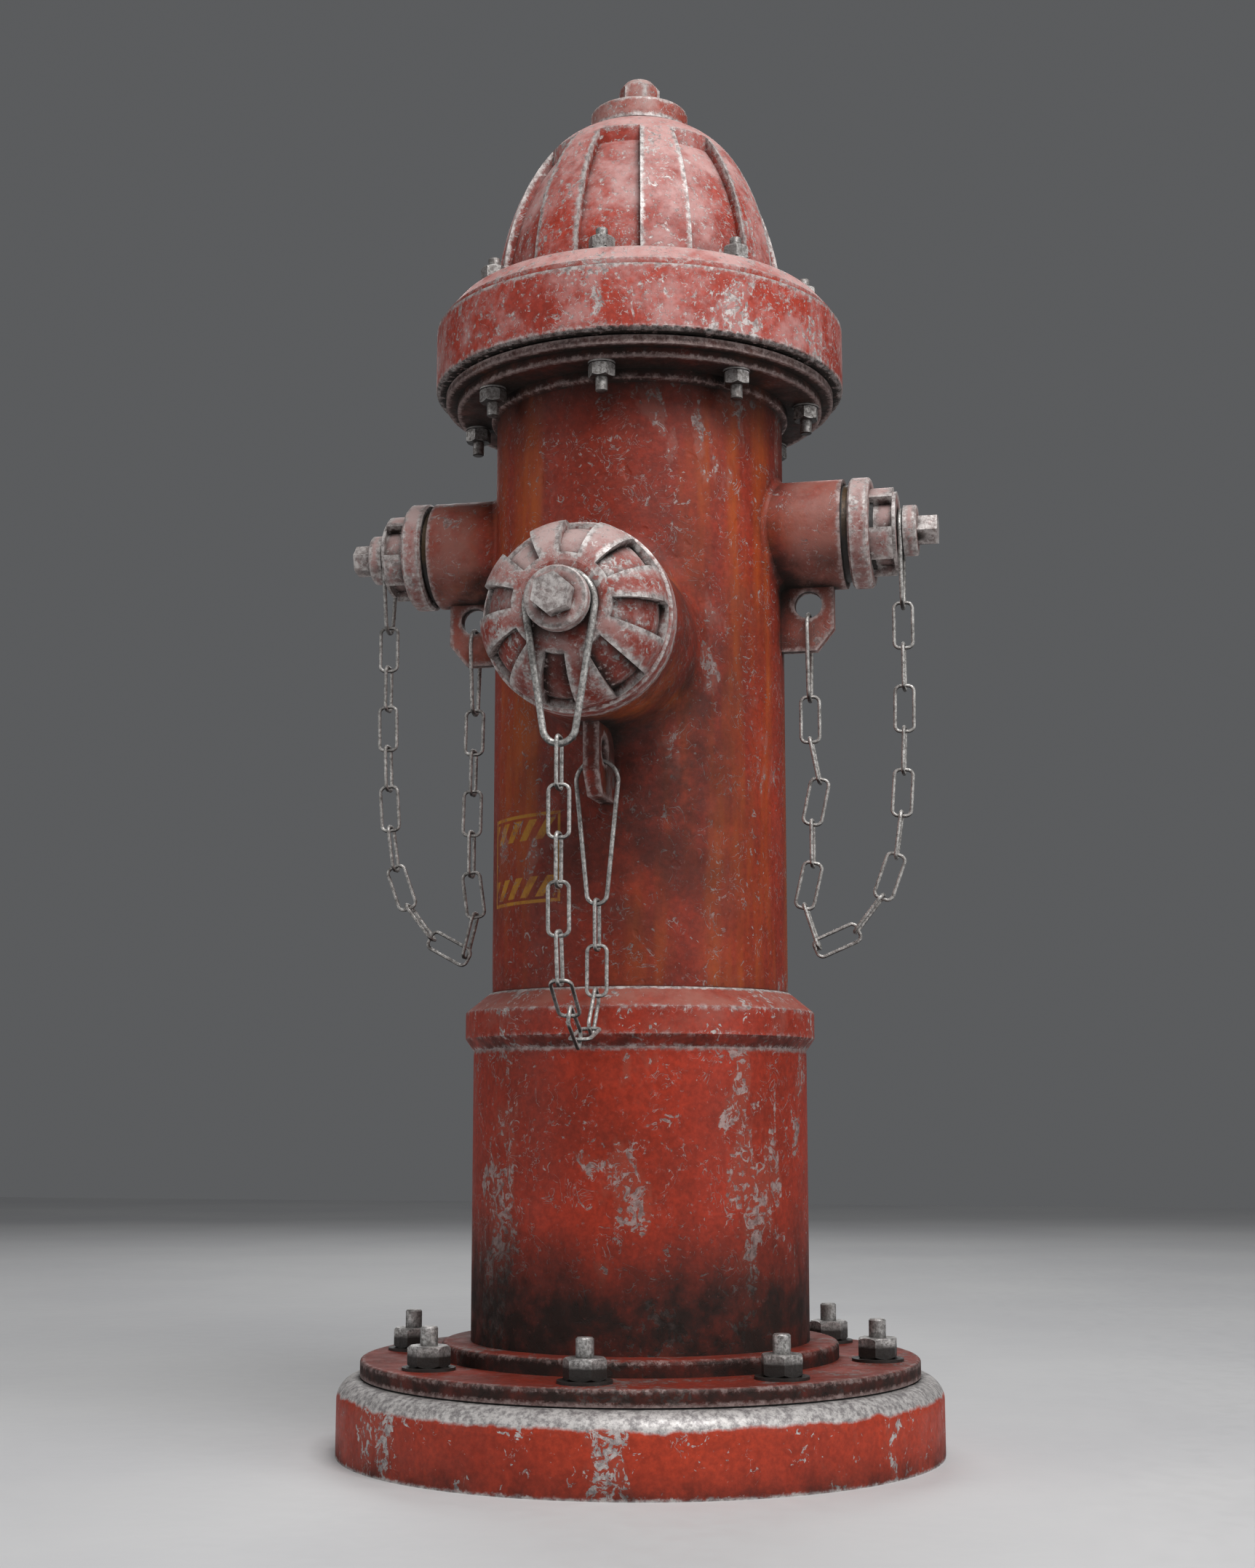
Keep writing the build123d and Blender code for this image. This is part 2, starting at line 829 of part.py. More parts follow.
hose_cap_low = 149.4
hose_rim_r = 37.8
hose_rim_top = 163.2
hose_body_r = 30.0
hose_body_top = 178.4
hose_groove = (180.6, 184.6)
hose_groove_r = 12.5
hose_collar_r = 17.3
hose_cap_top = 193.8
hose_web = 172.0
hose_gasket_seat = 165.6
hose_slot_arc = 46
hose_hex_r = 11.0
hose_hex_height = 13.5
for angle, side, first_slot in zip(hose_angles, ("right", "left"), (75, 15)):
    with BuildPart() as hose_cap:
        with BuildSketch(radial_plane(angle, hose_z)):
            with BuildLine():
                Polyline(
                    (hose_cap_low, hose_thread_r + turn_gap),
                    (hose_cap_low, hose_rim_r - 1.4),
                    (hose_cap_low + 1.4, hose_rim_r),
                    (hose_rim_top - 1.6, hose_rim_r),
                    (hose_rim_top, hose_rim_r - 1.6),
                    (hose_rim_top, hose_body_r),
                    (hose_body_top, hose_body_r),
                    (hose_body_top, hose_body_r - 3.0),
                    (hose_groove[0], hose_body_r - 3.0),
                    (hose_groove[0], hose_groove_r),
                    (hose_groove[1], hose_groove_r),
                    (hose_groove[1], hose_collar_r),
                    (hose_cap_top - 0.8, hose_collar_r),
                    (hose_cap_top, hose_collar_r - 0.8),
                    (hose_cap_top, 0),
                    (hose_web, 0),
                    (hose_web, hose_bore_r - 1.0),
                    (hose_gasket_seat, hose_bore_r - 1.0),
                    (hose_gasket_seat, hose_thread_r + turn_gap),
                    close=True,
                )
            make_face()
        revolve(axis=outlet_axis(angle, hose_z))
        with BuildSketch(facing_plane(angle, hose_z, hose_rim_top)):
            for slot in range(4):
                middle = first_slot + 90 * slot
                start, end = radians(middle - hose_slot_arc / 2), radians(middle + hose_slot_arc / 2)
                reach = 2 * hose_body_r
                with BuildLine():
                    Polyline(
                        (0, 0),
                        (reach * cos(start), reach * sin(start)),
                        (reach * cos(end), reach * sin(end)),
                        close=True,
                    )
                make_face()
            Circle(hose_body_r + 2.0, mode=Mode.INTERSECT)
            Circle(hose_body_r - 7.0, mode=Mode.SUBTRACT)
        extrude(amount=hose_body_top - hose_rim_top, mode=Mode.SUBTRACT)
        with BuildSketch(facing_plane(angle, hose_z, hose_cap_top)):
            RegularPolygon(hose_hex_r, 6, rotation=12)
        extrude(amount=hose_hex_height)
    save(hose_cap, f"{side}_cap")
    gasket = turned(
        [
            (hose_thread_end + 0.3, hose_bore_r - 2.0),
            (hose_thread_end + 0.3, hose_thread_r - 0.2),
            (hose_gasket_seat, hose_thread_r - 0.2),
            (hose_gasket_seat, hose_bore_r - 2.0),
        ],
        radial_plane(angle, hose_z),
        outlet_axis(angle, hose_z),
    )
    save(gasket, f"{side}_cap_gasket")

# ------------------------------------------------------------------ pumper cap

# Eight raised ribs run from the rim to the hub, with sunk panels between them.
pumper_cap_low = 168.9
pumper_rim_top = 184.2
pumper_rim_r = 59.8
pumper_gasket_seat = 188.6
pumper_web = 204.0
pumper_groove = (223.3, 228.7)
pumper_groove_r = 17.0
pumper_collar_r = 19.5
pumper_cap_top = 237.5
rib_r = 57.8
rib_arc = 23
first_panel = 26.5
hub_face_r = 30.0
hub_face = 222.5
pumper_hex_r = 12.6
pumper_hex_height = 12.5
with BuildPart() as pumper_cap:
    with BuildSketch(radial_plane(pumper_angle, pumper_z)):
        with BuildLine():
            Polyline(
                (197, rib_r),
                (pumper_rim_top, rib_r),
                (pumper_rim_top - 1.2, pumper_rim_r),
                (pumper_cap_low + 1.4, pumper_rim_r),
                (pumper_cap_low, pumper_rim_r - 1.4),
                (pumper_cap_low, pumper_thread_r + turn_gap),
                (pumper_gasket_seat, pumper_thread_r + turn_gap),
                (pumper_gasket_seat, pumper_bore_r - 2.1),
                (pumper_web, hub_face_r),
                (pumper_web, 0),
                (pumper_cap_top, 0),
                (pumper_cap_top, pumper_collar_r - 0.9),
                (pumper_cap_top - 0.9, pumper_collar_r),
                (pumper_groove[1], pumper_collar_r),
                (pumper_groove[1], pumper_groove_r),
                (pumper_groove[0], pumper_groove_r),
                (pumper_groove[0], hub_face_r - 4.0),
                (hub_face, hub_face_r),
            )
            ThreePointArc((hub_face, hub_face_r), (213, 48.0), (197, rib_r))
        make_face()
    panel_axis = outlet_axis(pumper_angle, pumper_z)
    revolve(axis=panel_axis)
    for panel in range(8):
        turn = radians(first_panel + 45 * panel)
        start = Plane(origin=(0, 0, pumper_z), x_dir=(0, -1, 0), z_dir=(cos(turn), 0, sin(turn)))
        with BuildSketch(start):
            with BuildLine():
                Polyline((194, 52.4), (186.5, 52.4), (186.5, 70), (232, 70), (232, 31), (218.5, 31))
                ThreePointArc((218.5, 31), (207.5, 45.2), (194, 52.4))
            make_face()
        revolve(axis=panel_axis, revolution_arc=45 - rib_arc, mode=Mode.SUBTRACT)
    with BuildSketch(facing_plane(pumper_angle, pumper_z, pumper_cap_top)):
        RegularPolygon(pumper_hex_r, 6, rotation=20)
    extrude(amount=pumper_hex_height)
save(pumper_cap, "pumper_cap")
save(
    turned(
        [
            (pumper_thread_end + 0.4, pumper_bore_r - 1.6),
            (pumper_thread_end + 0.4, pumper_thread_r - 0.5),
            (pumper_gasket_seat, pumper_thread_r - 0.5),
            (pumper_gasket_seat, pumper_bore_r - 1.6),
        ],
        radial_plane(pumper_angle, pumper_z),
        panel_axis,
    ),
    "pumper_cap_gasket",
)

# ------------------------------------------------------------------ chains

# Every chain hangs in the plane of its outlet and the barrel's axis. Places in that plane are
# (distance outward, height). Its links lie by turns in that plane and across it, so the bends of
# the chain are at the wires of the cross links.
inplane_step = link_length - 3 * wire - link_play
cross_step = link_length - wire


def wire_loop(top_r, bottom_r, spacing, thickness, plane):
    """A pear-shaped closed ring of round wire: two arcs joined by straight sides."""
    lean = asin((bottom_r - top_r) / spacing)
    bottom = (bottom_r * cos(lean), bottom_r * sin(lean) - spacing)
    with BuildPart() as loop:
        with BuildLine(plane) as half:
            CenterArc((0, 0), top_r, 90, degrees(lean) - 90)
            Line((top_r * cos(lean), top_r * sin(lean)), bottom)
            CenterArc((0, -spacing), bottom_r, degrees(lean), -90 - degrees(lean))
        start = plane.from_local_coords((0, top_r, 0))
        with BuildSketch(Plane(origin=start, x_dir=plane.z_dir, z_dir=plane.x_dir)):
            Circle(thickness / 2)
        sweep(path=half.line)
        mirror(about=Plane(origin=plane.origin, x_dir=plane.y_dir, z_dir=plane.x_dir))
    return loop


def chain_link():
    """One ordinary link in the XY plane, long way along Y."""
    half_width = (link_width - wire) / 2
    half_length = (link_length - wire) / 2
    with BuildPart() as link:
        with BuildLine() as half:
            FilletPolyline(
                (0, half_length),
                (half_width, half_length),
                (half_width, -half_length),
                (0, -half_length),
                radius=link_corner,
            )
        with BuildSketch(Plane.YZ):
            with Locations((half_length, 0)):
                Circle(wire / 2)
        sweep(path=half.line)
        mirror(about=Plane.YZ)
    return link.part


def hang(start, tilts, reach, loop_wire):
    """The bends of a hanging chain, from the cap's loop to the lug's loop.

    Each tilt turns a link from straight down towards the barrel. The one tilt given as None is
    worked out, so that the chain ends at the distance that it has to reach.
    """
    steps = [cross_step if index % 2 else inplane_step for index in range(len(tilts))]
    steps[0] -= (loop_wire - wire) / 2 + open_play
    steps[-1] -= (hose_loop_wire - wire) / 2
    known = sum(step * sin(radians(tilt)) for step, tilt in zip(steps, tilts) if tilt is not None)
    loose = steps[tilts.index(None)]
    solved = degrees(asin((start[0] - reach - known) / loose))
    bends = [start]
    for step, tilt in zip(steps, tilts):
        turn = radians(solved if tilt is None else tilt)
        last = bends[-1]
        bends.append((last[0] - step * sin(turn), last[1] - step * cos(turn)))
    return bends


def links(bends, angle, first, last):
    """Locations of the links from first up to, but not including, last."""
    turn = radians(angle)
    outward = Vector(cos(turn), sin(turn), 0)
    across = Vector(-sin(turn), cos(turn), 0)
    places = []
    for index in range(first, last):
        upper, lower = bends[index], bends[index + 1]
        run = outward * (upper[0] - lower[0]) + Vector(0, 0, 1) * (upper[1] - lower[1])
        length = run.length
        along = run / length
        low = outward * lower[0] + Vector(0, 0, lower[1])
        high = low + run
        if index == len(bends) - 2:
            middle = high - along * (inplane_step / 2)
        elif index % 2:
            middle = (low + high) / 2
        else:
            middle = low + along * (inplane_step / 2)
        normal = along.cross(across) if index % 2 else across
        places.append(Plane(origin=middle, x_dir=along.cross(normal), z_dir=normal).location)
    return places


# What each outlet's chain starts from and reaches: the two hose outlets are alike but for the
# way their links happen to lie.
hose_cap_loop = {"top_r": 15.4, "bottom_r": 8.0, "foot": 557.4, "wire": hose_loop_wire}
pumper_cap_loop = {"top_r": 21.3, "bottom_r": 10.0, "foot": 433.1, "wire": pumper_loop_wire}
hose_lug_loop = {"top_r": 12.0, "bottom_r": 7.5, "hole": hose_lug_hole, "thick": hose_lug_thick}
pumper_lug_loop = {"top_r": 13.5, "bottom_r": 6.5, "hole": pumper_lug_hole, "thick": pumper_lug_thick}
hose_fall = [0, 0, 1, 2, 4, 8, 20, 38, None]
outlets = [
    ("right", 0, hose_z, hose_groove_r, hose_loop_at, hose_cap_loop, hose_lug_loop),
    ("left", 180, hose_z, hose_groove_r, hose_loop_at, hose_cap_loop, hose_lug_loop),
    ("pumper", pumper_angle, pumper_z, pumper_groove_r, pumper_loop_at, pumper_cap_loop, pumper_lug_loop),
]
tilts = {
    "right": [*hose_fall, 162, 193, 180, 192, 169, 180],
    "left": [*hose_fall, 166, 188, 180, 179, 179, 179],
    "pumper": [0, 0, 0, 2, 8, 52, None, 104, 143, 179, 181],
}
opened_link = {"right": 9, "left": 9, "pumper": 7}
bends = {}
link = chain_link()
for side, angle, height, neck_r, loop_at, cap_loop, lug_loop in outlets:
    # The cap's loop hangs on the neck of the cap.
    hung = height + neck_r + 0.2 - (cap_loop["top_r"] - cap_loop["wire"] / 2)
    drop = hung - cap_loop["foot"] - cap_loop["bottom_r"]
    plane = facing_plane(angle, hung, loop_at)
    save(
        wire_loop(cap_loop["top_r"], cap_loop["bottom_r"], drop, cap_loop["wire"], plane),
        f"{side}_cap_loop",
    )
    # The lug's loop rides on the lower edge of the lug's hole.
    reach, hole_z = lug_loop["hole"]
    top_r = lug_loop["top_r"]
    bow = top_r - sqrt(top_r**2 - (lug_loop["thick"] / 2) ** 2)
    arc_z = hole_z - lug_hole_r + hose_loop_wire / 2 + bow + lug_play - top_r
    start = (loop_at, cap_loop["foot"])
    bends[side] = hang(start, tilts[side], reach, cap_loop["wire"])
    drop = arc_z - bends[side][-1][1] - lug_loop["bottom_r"]
    plane = facing_plane(angle, arc_z, reach)
    save(wire_loop(top_r, lug_loop["bottom_r"], drop, hose_loop_wire, plane), f"{side}_lug_loop")
    # The links between them, in two lengths that meet at the bottom of the hanging chain.
    middle = opened_link[side]
    with BuildPart() as cap_chain:
        with Locations(*links(bends[side], angle, 0, middle)):
            add(link)
    save(cap_chain, f"{side}_cap_chain")
    with BuildPart() as lug_chain:
        with Locations(*links(bends[side], angle, middle, len(tilts[side]))):
            add(link)
    save(lug_chain, f"{side}_lug_chain")
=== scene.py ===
import math

import bpy
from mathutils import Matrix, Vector

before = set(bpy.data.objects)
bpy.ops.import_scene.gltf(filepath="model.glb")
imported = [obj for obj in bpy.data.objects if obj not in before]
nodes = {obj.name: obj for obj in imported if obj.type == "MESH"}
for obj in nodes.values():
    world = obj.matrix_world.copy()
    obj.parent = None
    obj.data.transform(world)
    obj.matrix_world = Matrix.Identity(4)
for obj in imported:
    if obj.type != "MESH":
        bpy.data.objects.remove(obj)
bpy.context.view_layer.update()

# ---------------------------------------------------------------- studio
# A plain pale floor, lit by a large soft light above and in front, with a weaker one on each side
# and one behind. The view is from low down, a little to the right of the pumper outlet, and it
# tilts up slightly.
view_angle = math.radians(12.1)
view_distance = 1.4816
view_height = 0.2172
view_tilt = math.radians(8.652)
view_pan = math.radians(0.327)
lens_length = 50
sensor_width = 36

camera = bpy.data.cameras.new("view")
camera.lens = lens_length
camera.sensor_width = sensor_width
camera_stand = bpy.data.objects.new("view", camera)
camera_stand.location = (
    view_distance * math.sin(view_angle),
    -view_distance * math.cos(view_angle),
    view_height,
)
camera_stand.rotation_euler = (math.pi / 2 + view_tilt, 0, view_angle + view_pan)
bpy.context.scene.collection.objects.link(camera_stand)
bpy.context.scene.camera = camera_stand


def softbox(name, place, aim, size, power):
    """A rectangular studio light at a place, turned to aim at a point."""
    lamp = bpy.data.lights.new(name, "AREA")
    lamp.shape = "RECTANGLE"
    lamp.size, lamp.size_y = size
    lamp.energy = power
    stand = bpy.data.objects.new(name, lamp)
    stand.location = place
    stand.rotation_euler = (Vector(aim) - Vector(place)).to_track_quat("-Z", "Y").to_euler()
    bpy.context.scene.collection.objects.link(stand)


softbox("key_light", place=(0.75, -1.15, 2.25), aim=(0, 0, 0.45), size=(1.3, 1.1), power=48)
softbox("left_light", place=(-2.0, -1.2, 0.9), aim=(0, 0, 0.5), size=(1.0, 1.6), power=7)
softbox("right_light", place=(2.2, -0.9, 1.0), aim=(0, 0, 0.5), size=(1.0, 1.6), power=11)
softbox("back_light", place=(-0.6, 2.2, 1.8), aim=(0, 0, 0.6), size=(1.4, 1.0), power=16)

fill_colour = (0.8, 0.82, 0.85, 1)
fill_strength = 0.13
world = bpy.data.worlds.new("studio")
world.use_nodes = True
world.node_tree.nodes["Background"].inputs["Color"].default_value = fill_colour
world.node_tree.nodes["Background"].inputs["Strength"].default_value = fill_strength
bpy.context.scene.world = world
bpy.context.scene.view_settings.view_transform = "Standard"

floor_half = 4.0
corner_signs = ((-1, -1), (1, -1), (1, 1), (-1, 1))
floor_corners = [(x * floor_half, y * floor_half, 0) for x, y in corner_signs]
floor_mesh = bpy.data.meshes.new("floor")
floor_mesh.from_pydata(floor_corners, [], [(0, 1, 2, 3)])
floor = bpy.data.objects.new("floor", floor_mesh)
bpy.context.scene.collection.objects.link(floor)


def join(tree, value, socket):
    """Link another node's output to a socket, or set the socket to a plain value."""
    if isinstance(value, bpy.types.NodeSocket):
        tree.links.new(value, socket)
    elif socket.type == "RGBA" and len(value) == 3:
        socket.default_value = (*value, 1)
    else:
        socket.default_value = value


def noise(tree, place, scale, detail=4.0, roughness=0.55, distortion=0.0):
    """Random mottling, from 0 to 1, with this many patches to the metre."""
    node = tree.nodes.new("ShaderNodeTexNoise")
    join(tree, place, node.inputs["Vector"])
    join(tree, scale, node.inputs["Scale"])
    join(tree, detail, node.inputs["Detail"])
    join(tree, roughness, node.inputs["Roughness"])
    join(tree, distortion, node.inputs["Distortion"])
    return node.outputs["Fac"]


def step(tree, value, low, high, start=0.0, end=1.0, smooth=True):
    """Value brought from the range low to high into the range start to end, and held there."""
    node = tree.nodes.new("ShaderNodeMapRange")
    node.interpolation_type = "SMOOTHSTEP" if smooth else "LINEAR"
    labels = ("Value", "From Min", "From Max", "To Min", "To Max")
    for label, number in zip(labels, (value, low, high, start, end)):
        join(tree, number, node.inputs[label])
    return node.outputs["Result"]


def tint(tree, share, under, over):
    """The colour under, covered by the colour over as far as share says."""
    node = tree.nodes.new("ShaderNodeMix")
    node.data_type = "RGBA"
    join(tree, share, node.inputs[0])
    join(tree, under, node.inputs[6])
    join(tree, over, node.inputs[7])
    return node.outputs[2]


def new_material(name):
    """A node material: its own tree, its Principled shader and the piece's own coordinates."""
    material = bpy.data.materials.new(name)
    material.use_nodes = True
    tree = material.node_tree
    place = tree.nodes.new("ShaderNodeTexCoord").outputs["Object"]
    return material, tree, tree.nodes["Principled BSDF"], place


floor_paint, tree, shader, place = new_material("studio_floor")
cloud = step(tree, noise(tree, place, scale=2.0), 0.3, 0.7)
join(tree, tint(tree, cloud, (0.60, 0.60, 0.61), (0.66, 0.66, 0.66)), shader.inputs["Base Color"])
join(
    tree, step(tree, noise(tree, place, scale=60.0), 0.3, 0.7, start=0.55, end=0.7),
    shader.inputs["Roughness"],
)
floor_mesh.materials.append(floor_paint)

# ---------------------------------------------------------------- base ring
# The ground-line flange: a heavy grey-iron casting, painted with red enamel over its skin.
# Its rounded upper edge has been rubbed down to bare iron, and its side is chipped.


def calc(tree, operation, first, second=0.0):
    """One maths node on two values."""
    node = tree.nodes.new("ShaderNodeMath")
    node.operation = operation
    join(tree, first, node.inputs[0])
    join(tree, second, node.inputs[1])
    return node.outputs[0]


def vector_calc(tree, operation, first, second_name, second, output):
    """One vector maths node on a vector and a second value."""
    node = tree.nodes.new("ShaderNodeVectorMath")
    node.operation = operation
    join(tree, first, node.inputs[0])
    if second_name is not None:
        join(tree, second, node.inputs[second_name])
    return node.outputs[output]


def axis_of(tree, vector, axis):
    """One component of a vector."""
    node = tree.nodes.new("ShaderNodeSeparateXYZ")
    join(tree, vector, node.inputs[0])
    return node.outputs[axis]


def upwardness(tree):
    """1 where the surface faces straight up, 0 on walls and -1 on undersides."""
    return axis_of(tree, tree.nodes.new("ShaderNodeTexCoord").outputs["Normal"], "Z")


def stretched(tree, place, across, up):
    """Coordinates scaled level and upright, which draws a pattern out the other way."""
    node = tree.nodes.new("ShaderNodeMapping")
    join(tree, place, node.inputs["Vector"])
    node.inputs["Scale"].default_value = (across, across, up)
    return node.outputs["Vector"]


def occlusion(tree, reach, inside):
    """How much of the surface lies beside an edge (inside) or in a corner, from 0 to 1."""
    node = tree.nodes.new("ShaderNodeAmbientOcclusion")
    node.inside = inside
    node.only_local = inside
    node.samples = 6
    join(tree, reach, node.inputs["Distance"])
    return calc(tree, "SUBTRACT", 1.0, node.outputs["AO"])


def shader_group(name, inputs, outputs):
    """A node group with these sockets: its tree, coordinates, inputs and outputs."""
    tree = bpy.data.node_groups.new(name, "ShaderNodeTree")
    for label, value in inputs.items():
        socket = tree.interface.new_socket(label, in_out="INPUT", socket_type="NodeSocketFloat")
        socket.default_value = value
    for label in outputs:
        tree.interface.new_socket(label, in_out="OUTPUT", socket_type="NodeSocketFloat")
    place = tree.nodes.new("ShaderNodeTexCoord").outputs["Object"]
    given = tree.nodes.new("NodeGroupInput").outputs
    made = tree.nodes.new("NodeGroupOutput").inputs
    return tree, place, given, made


def apply_group(tree, group, output, **values):
    """Place a node group in a material with its own values and return one of its outputs."""
    node = tree.nodes.new("ShaderNodeGroup")
    node.node_tree = group
    for label, value in values.items():
        join(tree, value, node.inputs[label])
    return node.outputs[output]


# Sand-cast skin: a coarse orange peel with finer grit, low lumps and a few pits.
cast_skin, place, given, made = shader_group("cast_skin", {"Grain": 1.0}, ["Height"])
peel = calc(
    cast_skin, "MULTIPLY", noise(cast_skin, place, scale=190.0, detail=3.0, roughness=0.6), 0.6
)
grit = calc(
    cast_skin, "MULTIPLY", noise(cast_skin, place, scale=620.0, detail=2.0, roughness=0.6), 0.22
)
lumps = calc(
    cast_skin, "MULTIPLY", noise(cast_skin, place, scale=26.0, detail=2.0, roughness=0.5), 1.1
)
pits = step(
    cast_skin, noise(cast_skin, place, scale=95.0, detail=1.0, roughness=0.4), 0.66, 0.78,
    start=0.0, end=-0.9,
)
fine = calc(cast_skin, "ADD", peel, grit)
coarse = calc(cast_skin, "ADD", lumps, pits)
height = calc(cast_skin, "ADD", fine, coarse)
join(cast_skin, calc(cast_skin, "MULTIPLY", height, given["Grain"]), made["Height"])

# Paint that has come off in crooked strokes and hairline scratches, closest together in upright
# smears, where the paint left between them is scuffed.
flaking, place, given, made = shader_group(
    "flaking", {"Scratches": 0.5, "Flakes": 0.5, "Smears": 0.5, "Size": 1.0}, ["Bare", "Scuffed"]
)
sized = vector_calc(flaking, "SCALE", place, "Scale", given["Size"], "Vector")
drag = noise(
    flaking, stretched(flaking, sized, 1.0, 0.45), scale=24.0, detail=5.0, roughness=0.62,
    distortion=0.3,
)
drag_low = calc(flaking, "SUBTRACT", 0.645, calc(flaking, "MULTIPLY", given["Smears"], 0.09))
smear = step(flaking, drag, drag_low, calc(flaking, "ADD", drag_low, 0.045))
gather = step(
    flaking, noise(flaking, sized, scale=26.0, detail=3.0, roughness=0.6), 0.46, 0.60,
    start=-0.5, end=1.0,
)
strokes = noise(flaking, sized, scale=160.0, detail=4.0, roughness=0.7, distortion=1.2)
stroke_low = calc(flaking, "SUBTRACT", 0.722, calc(flaking, "MULTIPLY", given["Flakes"], 0.12))
stroke_low = calc(flaking, "SUBTRACT", stroke_low, calc(flaking, "MULTIPLY", gather, 0.045))
stroke_low = calc(flaking, "SUBTRACT", stroke_low, calc(flaking, "MULTIPLY", smear, 0.15))
flakes = step(
    flaking, strokes, stroke_low, calc(flaking, "ADD", stroke_low, 0.03), start=0.0, end=0.92
)
wander = noise(flaking, sized, scale=62.0, detail=3.0, roughness=0.6, distortion=1.5)
hairline = calc(flaking, "ABSOLUTE", calc(flaking, "SUBTRACT", wander, 0.5))
hairline = step(flaking, hairline, 0.003, 0.013, start=0.75, end=0.0)
broken = noise(flaking, sized, scale=47.0, detail=4.0, roughness=0.7)
broken_low = calc(flaking, "SUBTRACT", 0.62, calc(flaking, "MULTIPLY", given["Scratches"], 0.2))
broken = step(flaking, broken, broken_low, calc(flaking, "ADD", broken_low, 0.06))
bare = calc(flaking, "MAXIMUM", calc(flaking, "MULTIPLY", hairline, broken), flakes)
join(flaking, bare, made["Bare"])
join(flaking, calc(flaking, "MULTIPLY", smear, 0.3), made["Scuffed"])

# Paint rubbed off the outer edges and corners.
rubbing, place, given, made = shader_group("rubbing", {"Reach": 0.004, "Amount": 0.5}, ["Bare"])
ragged = step(
    rubbing, noise(rubbing, place, scale=210.0, detail=5.0, roughness=0.7), 0.3, 0.7,
    start=-0.17, end=0.17,
)
edge = calc(rubbing, "ADD", occlusion(rubbing, given["Reach"], True), ragged)
edge_low = calc(rubbing, "SUBTRACT", 0.46, calc(rubbing, "MULTIPLY", given["Amount"], 0.42))
join(rubbing, step(rubbing, edge, edge_low, calc(rubbing, "ADD", edge_low, 0.12)), made["Bare"])

# Painted shade and dirt: corners, the space under ledges and the faces that look down are darkened,
# partly as lodged soot and partly as painted shade.
shade_and_grime, place, given, made = shader_group(
    "shade_and_grime", {"Reach": 0.02, "Amount": 0.5, "Underside": 0.9}, ["Grime"]
)
uneven = step(
    shade_and_grime, noise(shade_and_grime, place, scale=45.0, detail=5.0, roughness=0.65), 0.25, 0.75,
    start=0.55, end=1.35,
)
corner = calc(shade_and_grime, "MULTIPLY", occlusion(shade_and_grime, given["Reach"], False), given["Amount"])
under = step(shade_and_grime, upwardness(shade_and_grime), -0.75, -0.15, start=0.85, end=0.0)
under = calc(shade_and_grime, "MULTIPLY", under, given["Underside"])
shade_and_grime_share = calc(shade_and_grime, "MULTIPLY", calc(shade_and_grime, "ADD", corner, under), uneven)
join(shade_and_grime, step(shade_and_grime, shade_and_grime_share, 0.05, 0.75), made["Grime"])

# A band that is full at one height and gone at another, with a wavering edge, and washed thin on
# the faces that look up. It marks stains and worn paint, and also the painted shadow of the bonnet
# rim on the barrel below it.
height_band, place, given, made = shader_group(
    "height_band", {"Full": 0.0, "Clear": 0.1, "Waver": 0.02, "Tops": 1.0}, ["Grime"]
)
waver = noise(
    height_band, stretched(height_band, place, 1.0, 0.6), scale=30.0, detail=6.0, roughness=0.65
)
waver = calc(height_band, "MULTIPLY", calc(height_band, "SUBTRACT", waver, 0.5), given["Waver"])
level = calc(height_band, "ADD", axis_of(height_band, place, "Z"), waver)
level = step(height_band, level, given["Full"], given["Clear"], start=1.0, end=0.0, smooth=False)
washed = step(height_band, upwardness(height_band), 0.6, 0.9, start=1.0, end=given["Tops"])
join(height_band, calc(height_band, "MULTIPLY", level, washed), made["Grime"])

# Paint bleached and dusted where it faces the sky, and lightened there by a painted highlight as
# well.
fade_and_highlight, place, given, made = shader_group("fade_and_highlight", {"Amount": 0.5}, ["Faded and lit"])
sky = step(fade_and_highlight, upwardness(fade_and_highlight), -0.35, 0.9, start=0.0, end=0.75)
patchy = step(
    fade_and_highlight, noise(fade_and_highlight, place, scale=34.0, detail=6.0, roughness=0.7), 0.3, 0.7,
    start=-0.3, end=0.45,
)
faded_and_lit = calc(fade_and_highlight, "MULTIPLY", calc(fade_and_highlight, "ADD", sky, patchy), given["Amount"])
join(fade_and_highlight, step(fade_and_highlight, faded_and_lit, 0.0, 0.8), made["Faded and lit"])

# Rusty water that has run down the side.
weeping, place, given, made = shader_group("weeping", {"Amount": 0.5}, ["Streaks"])
run = noise(weeping, stretched(weeping, place, 1.0, 0.09), scale=19.0, detail=4.0, roughness=0.6)
run_low = calc(weeping, "SUBTRACT", 0.72, calc(weeping, "MULTIPLY", given["Amount"], 0.3))
run = step(weeping, run, run_low, calc(weeping, "ADD", run_low, 0.2))
thin = noise(weeping, stretched(weeping, place, 1.0, 0.3), scale=70.0, detail=5.0, roughness=0.65)
thin = step(weeping, thin, 0.36, 0.6, start=0.45, end=1.0)
join(weeping, calc(weeping, "MULTIPLY", run, thin), made["Streaks"])


